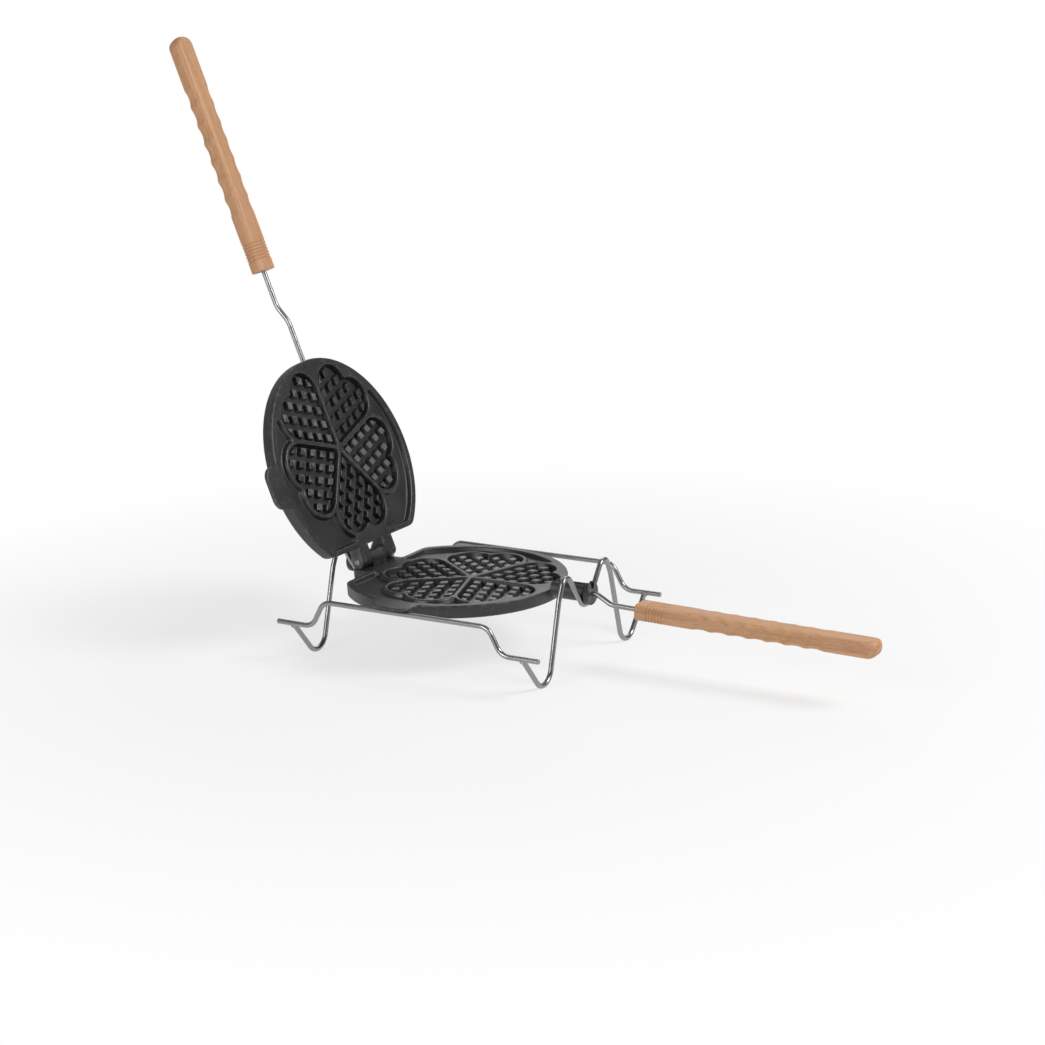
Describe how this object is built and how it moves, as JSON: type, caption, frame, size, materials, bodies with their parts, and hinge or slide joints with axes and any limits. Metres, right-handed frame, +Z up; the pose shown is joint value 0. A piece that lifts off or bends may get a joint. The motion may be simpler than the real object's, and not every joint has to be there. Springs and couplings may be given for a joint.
{
  "type": "campfire waffle iron",
  "caption": "Hinged heart-pattern waffle iron with long wood-grip rods, lying by end collars in a bent-wire stand.",
  "frame": {"origin": "middle of the whole part's box, on the plane that the four feet of the stand rest on, with the lid open", "axes": "+X along the iron towards the lower grip, +Y across, away from the ears, +Z up"},
  "size_m": [0.754, 0.249, 0.5817],
  "materials": {
    "coated_casting": "black non-stick coat on cast aluminium, slightly grained, satin",
    "pin_steel": "bright steel, lightly scratched",
    "rod_steel": "bright drawn stainless rod",
    "wire_steel": "bright drawn stainless wire",
    "beech": "oiled beech, fine grain along the grip"
  },
  "bodies": {
    "stand": {"rail_front": "wire_steel", "rail_rear": "wire_steel", "cradle_handle_end": "wire_steel", "cradle_hinge_end": "wire_steel"},
    "iron": {"lower_plate": "coated_casting", "hinge_pin": "pin_steel", "lower_rod": "rod_steel", "lower_grip": "beech"},
    "lid": {"upper_plate": "coated_casting", "upper_rod": "rod_steel", "upper_grip": "beech"}
  },
  "joints": [
    {"name": "lift_out", "type": "slide", "parent": "stand", "child": "iron", "axis": [0, 0, 1], "range_m": [0, 0.06]},
    {"name": "lid_hinge", "type": "hinge", "parent": "iron", "child": "lid", "pos_m": [-0.16316, 0.0015, 0.07791], "axis": [0, 1, 0], "range_deg": [0, 112]}
  ]
}
